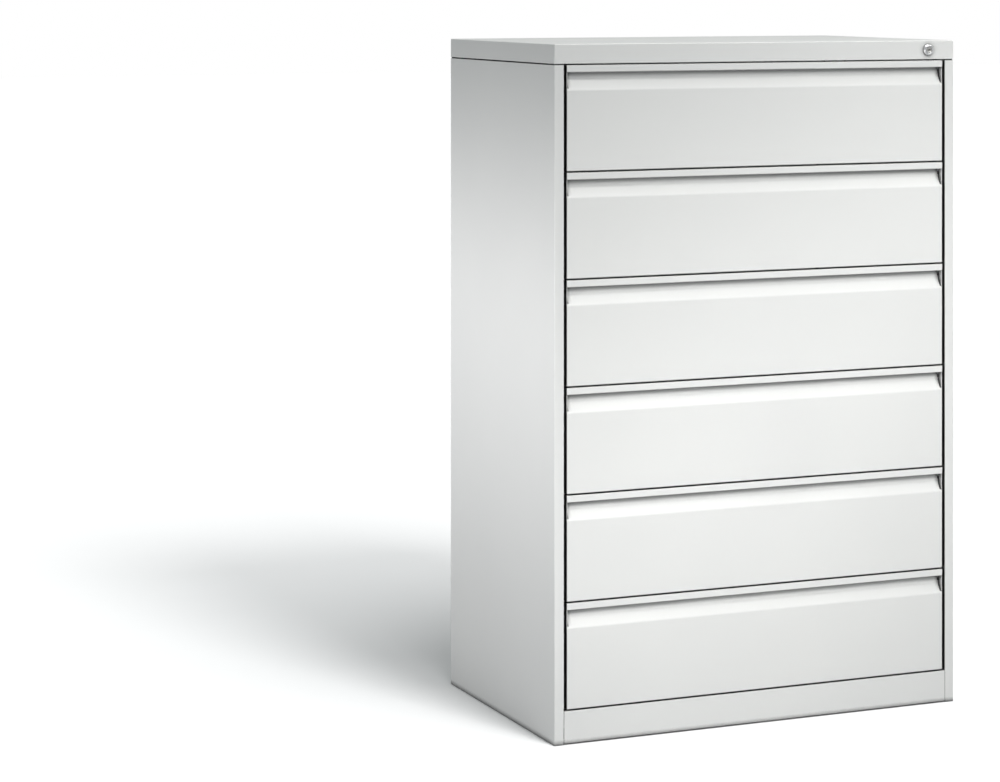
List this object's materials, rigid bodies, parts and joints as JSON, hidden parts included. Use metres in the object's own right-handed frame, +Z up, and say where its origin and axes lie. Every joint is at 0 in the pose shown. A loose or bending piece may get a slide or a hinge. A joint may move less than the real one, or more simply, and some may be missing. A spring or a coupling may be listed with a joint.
{
  "type": "drawer file cabinet",
  "caption": "Tall light grey sheet-steel file cabinet with full-width drawers, recessed grip fronts, telescopic slides and a central lock in the top cover.",
  "frame": {"origin": "centre of the bounding box's bottom face, on the floor under the middle of the cabinet", "axes": "+Z up, drawers open towards -Y, +X to the right of a person facing the drawers"},
  "size_m": [0.88, 0.596, 1.357],
  "materials": {
    "body_powder_coat": "light grey powder coat, fine satin texture",
    "front_powder_coat": "light grey powder coat, fine satin texture",
    "box_powder_coat": "light grey powder coat, thin coat inside",
    "slide_steel": "bright zinc-plated cold-rolled steel",
    "zinc_steel": "galvanised sheet",
    "lock_chrome": "polished chrome plate",
    "lock_plug_steel": "nickel plate, fine turned face",
    "foot_plastic": "black moulded plastic"
  },
  "bodies": {
    "root": {"side_panel_left": "body_powder_coat", "side_panel_right": "body_powder_coat", "back_panel": "body_powder_coat", "top_cover": "body_powder_coat", "base_tray": "body_powder_coat", "plinth_panel": "body_powder_coat", "upright_front_left": "zinc_steel", "upright_front_right": "zinc_steel", "upright_rear_left": "zinc_steel", "upright_rear_right": "zinc_steel", "top_front_rail": "zinc_steel", "top_rear_rail": "zinc_steel", "lock_housing": "lock_chrome", "lock_nut": "zinc_steel", "lock_bar_guide_upper": "zinc_steel", "lock_bar_guide_lower": "zinc_steel", "slide_outer_left_1": "slide_steel", "slide_outer_right_1": "slide_steel", "slide_outer_left_2": "slide_steel", "slide_outer_right_2": "slide_steel", "slide_outer_left_3": "slide_steel", "slide_outer_right_3": "slide_steel", "slide_outer_left_4": "slide_steel", "slide_outer_right_4": "slide_steel", "slide_outer_left_5": "slide_steel", "slide_outer_right_5": "slide_steel", "slide_outer_left_6": "slide_steel", "slide_outer_right_6": "slide_steel"},
    "drawer_1": {"drawer_front_1": "front_powder_coat", "drawer_box_1": "box_powder_coat"},
    "drawer_2": {"drawer_front_2": "front_powder_coat", "drawer_box_2": "box_powder_coat"},
    "drawer_3": {"drawer_front_3": "front_powder_coat", "drawer_box_3": "box_powder_coat"},
    "drawer_4": {"drawer_front_4": "front_powder_coat", "drawer_box_4": "box_powder_coat"},
    "drawer_5": {"drawer_front_5": "front_powder_coat", "drawer_box_5": "box_powder_coat"},
    "drawer_6": {"drawer_front_6": "front_powder_coat", "drawer_box_6": "box_powder_coat"},
    "mid_left_1": {"slide_mid_left_1": "slide_steel"},
    "mid_right_1": {"slide_mid_right_1": "slide_steel"},
    "mid_left_2": {"slide_mid_left_2": "slide_steel"},
    "mid_right_2": {"slide_mid_right_2": "slide_steel"},
    "mid_left_3": {"slide_mid_left_3": "slide_steel"},
    "mid_right_3": {"slide_mid_right_3": "slide_steel"},
    "mid_left_4": {"slide_mid_left_4": "slide_steel"},
    "mid_right_4": {"slide_mid_right_4": "slide_steel"},
    "mid_left_5": {"slide_mid_left_5": "slide_steel"},
    "mid_right_5": {"slide_mid_right_5": "slide_steel"},
    "mid_left_6": {"slide_mid_left_6": "slide_steel"},
    "mid_right_6": {"slide_mid_right_6": "slide_steel"},
    "foot_front_left": {"levelling_foot_front_left": "foot_plastic"},
    "foot_front_right": {"levelling_foot_front_right": "foot_plastic"},
    "foot_rear_left": {"levelling_foot_rear_left": "foot_plastic"},
    "foot_rear_right": {"levelling_foot_rear_right": "foot_plastic"},
    "lock_turning": {"lock_plug": "lock_plug_steel", "lock_cam": "zinc_steel"},
    "lock_bar": {"lock_bar": "zinc_steel"}
  },
  "joints": [
    {"name": "drawer_1_slide", "type": "slide", "parent": "root", "child": "drawer_1", "axis": [0, -1, 0], "range_m": [0, 0.48]},
    {"name": "drawer_2_slide", "type": "slide", "parent": "root", "child": "drawer_2", "axis": [0, -1, 0], "range_m": [0, 0.48]},
    {"name": "drawer_3_slide", "type": "slide", "parent": "root", "child": "drawer_3", "axis": [0, -1, 0], "range_m": [0, 0.48]},
    {"name": "drawer_4_slide", "type": "slide", "parent": "root", "child": "drawer_4", "axis": [0, -1, 0], "range_m": [0, 0.48]},
    {"name": "drawer_5_slide", "type": "slide", "parent": "root", "child": "drawer_5", "axis": [0, -1, 0], "range_m": [0, 0.48]},
    {"name": "drawer_6_slide", "type": "slide", "parent": "root", "child": "drawer_6", "axis": [0, -1, 0], "range_m": [0, 0.48]},
    {"name": "mid_left_1_slide", "type": "slide", "parent": "root", "child": "mid_left_1", "axis": [0, -1, 0], "range_m": [0, 0.24]},
    {"name": "mid_right_1_slide", "type": "slide", "parent": "root", "child": "mid_right_1", "axis": [0, -1, 0], "range_m": [0, 0.24]},
    {"name": "mid_left_2_slide", "type": "slide", "parent": "root", "child": "mid_left_2", "axis": [0, -1, 0], "range_m": [0, 0.24]},
    {"name": "mid_right_2_slide", "type": "slide", "parent": "root", "child": "mid_right_2", "axis": [0, -1, 0], "range_m": [0, 0.24]},
    {"name": "mid_left_3_slide", "type": "slide", "parent": "root", "child": "mid_left_3", "axis": [0, -1, 0], "range_m": [0, 0.24]},
    {"name": "mid_right_3_slide", "type": "slide", "parent": "root", "child": "mid_right_3", "axis": [0, -1, 0], "range_m": [0, 0.24]},
    {"name": "mid_left_4_slide", "type": "slide", "parent": "root", "child": "mid_left_4", "axis": [0, -1, 0], "range_m": [0, 0.24]},
    {"name": "mid_right_4_slide", "type": "slide", "parent": "root", "child": "mid_right_4", "axis": [0, -1, 0], "range_m": [0, 0.24]},
    {"name": "mid_left_5_slide", "type": "slide", "parent": "root", "child": "mid_left_5", "axis": [0, -1, 0], "range_m": [0, 0.24]},
    {"name": "mid_right_5_slide", "type": "slide", "parent": "root", "child": "mid_right_5", "axis": [0, -1, 0], "range_m": [0, 0.24]},
    {"name": "mid_left_6_slide", "type": "slide", "parent": "root", "child": "mid_left_6", "axis": [0, -1, 0], "range_m": [0, 0.24]},
    {"name": "mid_right_6_slide", "type": "slide", "parent": "root", "child": "mid_right_6", "axis": [0, -1, 0], "range_m": [0, 0.24]},
    {"name": "foot_front_left_height", "type": "slide", "parent": "root", "child": "foot_front_left", "axis": [0, 0, -1], "range_m": [0, 0.012]},
    {"name": "foot_front_right_height", "type": "slide", "parent": "root", "child": "foot_front_right", "axis": [0, 0, -1], "range_m": [0, 0.012]},
    {"name": "foot_rear_left_height", "type": "slide", "parent": "root", "child": "foot_rear_left", "axis": [0, 0, -1], "range_m": [0, 0.012]},
    {"name": "foot_rear_right_height", "type": "slide", "parent": "root", "child": "foot_rear_right", "axis": [0, 0, -1], "range_m": [0, 0.012]},
    {"name": "lock_turn", "type": "hinge", "parent": "root", "child": "lock_turning", "pos_m": [0.381, -0.292, 1.33787], "axis": [0, -1, 0], "range_deg": [0, 90]},
    {"name": "lock_bar_lift", "type": "slide", "parent": "root", "child": "lock_bar", "axis": [0, 0, 1], "range_m": [0, 0.0113]}
  ],
  "couplings": [
    {"joint": "mid_left_1_slide", "follows": "drawer_1_slide", "ratio": 0.5},
    {"joint": "mid_right_1_slide", "follows": "drawer_1_slide", "ratio": 0.5},
    {"joint": "mid_left_2_slide", "follows": "drawer_2_slide", "ratio": 0.5},
    {"joint": "mid_right_2_slide", "follows": "drawer_2_slide", "ratio": 0.5},
    {"joint": "mid_left_3_slide", "follows": "drawer_3_slide", "ratio": 0.5},
    {"joint": "mid_right_3_slide", "follows": "drawer_3_slide", "ratio": 0.5},
    {"joint": "mid_left_4_slide", "follows": "drawer_4_slide", "ratio": 0.5},
    {"joint": "mid_right_4_slide", "follows": "drawer_4_slide", "ratio": 0.5},
    {"joint": "mid_left_5_slide", "follows": "drawer_5_slide", "ratio": 0.5},
    {"joint": "mid_right_5_slide", "follows": "drawer_5_slide", "ratio": 0.5},
    {"joint": "mid_left_6_slide", "follows": "drawer_6_slide", "ratio": 0.5},
    {"joint": "mid_right_6_slide", "follows": "drawer_6_slide", "ratio": 0.5},
    {"joint": "lock_turn", "follows": "lock_bar_lift", "rad_per_m": 138.84}
  ]
}
